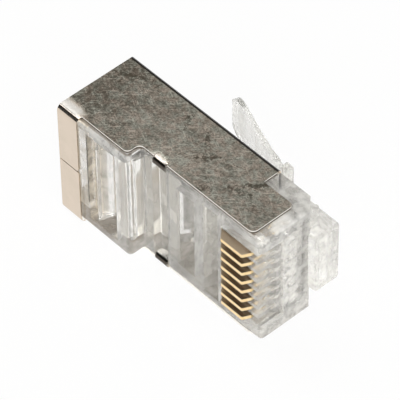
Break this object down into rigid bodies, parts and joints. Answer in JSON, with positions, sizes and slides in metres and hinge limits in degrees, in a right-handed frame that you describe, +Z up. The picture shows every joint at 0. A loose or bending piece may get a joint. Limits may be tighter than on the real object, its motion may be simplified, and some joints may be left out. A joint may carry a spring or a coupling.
{
  "type": "rj45 modular plug",
  "caption": "Clear modular network plug, not yet crimped, with a folded metal side shield, a comb of gold blades, a jacket anchor bar and a springy latch lever.",
  "frame": {"origin": "on the outside of the lower shield side, which the plug stands on", "axes": "+X towards the nose, +Y towards the latch, +Z up across the plug's width"},
  "size_m": [0.0222, 0.0137, 0.0118],
  "materials": {
    "clear_plastic": "clear moulded plastic, glossy",
    "nickel_sheet": "dull nickel with fine random scratches, bright cut edges",
    "gold_blade": "gold-plated, polished edges"
  },
  "bodies": {
    "plug_body": {"housing": "clear_plastic", "shield": "nickel_sheet"},
    "latch": {"latch_lever": "clear_plastic"},
    "jacket_anchor": {"anchor_bar": "clear_plastic"},
    "contact_1_blade": {"contact_1": "gold_blade"},
    "contact_2_blade": {"contact_2": "gold_blade"},
    "contact_3_blade": {"contact_3": "gold_blade"},
    "contact_4_blade": {"contact_4": "gold_blade"},
    "contact_5_blade": {"contact_5": "gold_blade"},
    "contact_6_blade": {"contact_6": "gold_blade"},
    "contact_7_blade": {"contact_7": "gold_blade"},
    "contact_8_blade": {"contact_8": "gold_blade"}
  },
  "joints": [
    {"name": "latch_press", "type": "hinge", "parent": "plug_body", "child": "latch", "pos_m": [0.00922, 0.00446, 0.00588], "axis": [0, 0, 1], "range_deg": [0, 12], "stiffness_Nm_per_rad": 0.03},
    {"name": "anchor_press", "type": "hinge", "parent": "plug_body", "child": "jacket_anchor", "pos_m": [-0.00715, -0.0034, 0.00588], "axis": [0, 0, 1], "range_deg": [0, 30]},
    {"name": "contact_1_crimp", "type": "slide", "parent": "plug_body", "child": "contact_1_blade", "axis": [0, 1, 0], "range_m": [0, 0.00075]},
    {"name": "contact_2_crimp", "type": "slide", "parent": "plug_body", "child": "contact_2_blade", "axis": [0, 1, 0], "range_m": [0, 0.00075]},
    {"name": "contact_3_crimp", "type": "slide", "parent": "plug_body", "child": "contact_3_blade", "axis": [0, 1, 0], "range_m": [0, 0.00075]},
    {"name": "contact_4_crimp", "type": "slide", "parent": "plug_body", "child": "contact_4_blade", "axis": [0, 1, 0], "range_m": [0, 0.00075]},
    {"name": "contact_5_crimp", "type": "slide", "parent": "plug_body", "child": "contact_5_blade", "axis": [0, 1, 0], "range_m": [0, 0.00075]},
    {"name": "contact_6_crimp", "type": "slide", "parent": "plug_body", "child": "contact_6_blade", "axis": [0, 1, 0], "range_m": [0, 0.00075]},
    {"name": "contact_7_crimp", "type": "slide", "parent": "plug_body", "child": "contact_7_blade", "axis": [0, 1, 0], "range_m": [0, 0.00075]},
    {"name": "contact_8_crimp", "type": "slide", "parent": "plug_body", "child": "contact_8_blade", "axis": [0, 1, 0], "range_m": [0, 0.00075]}
  ]
}
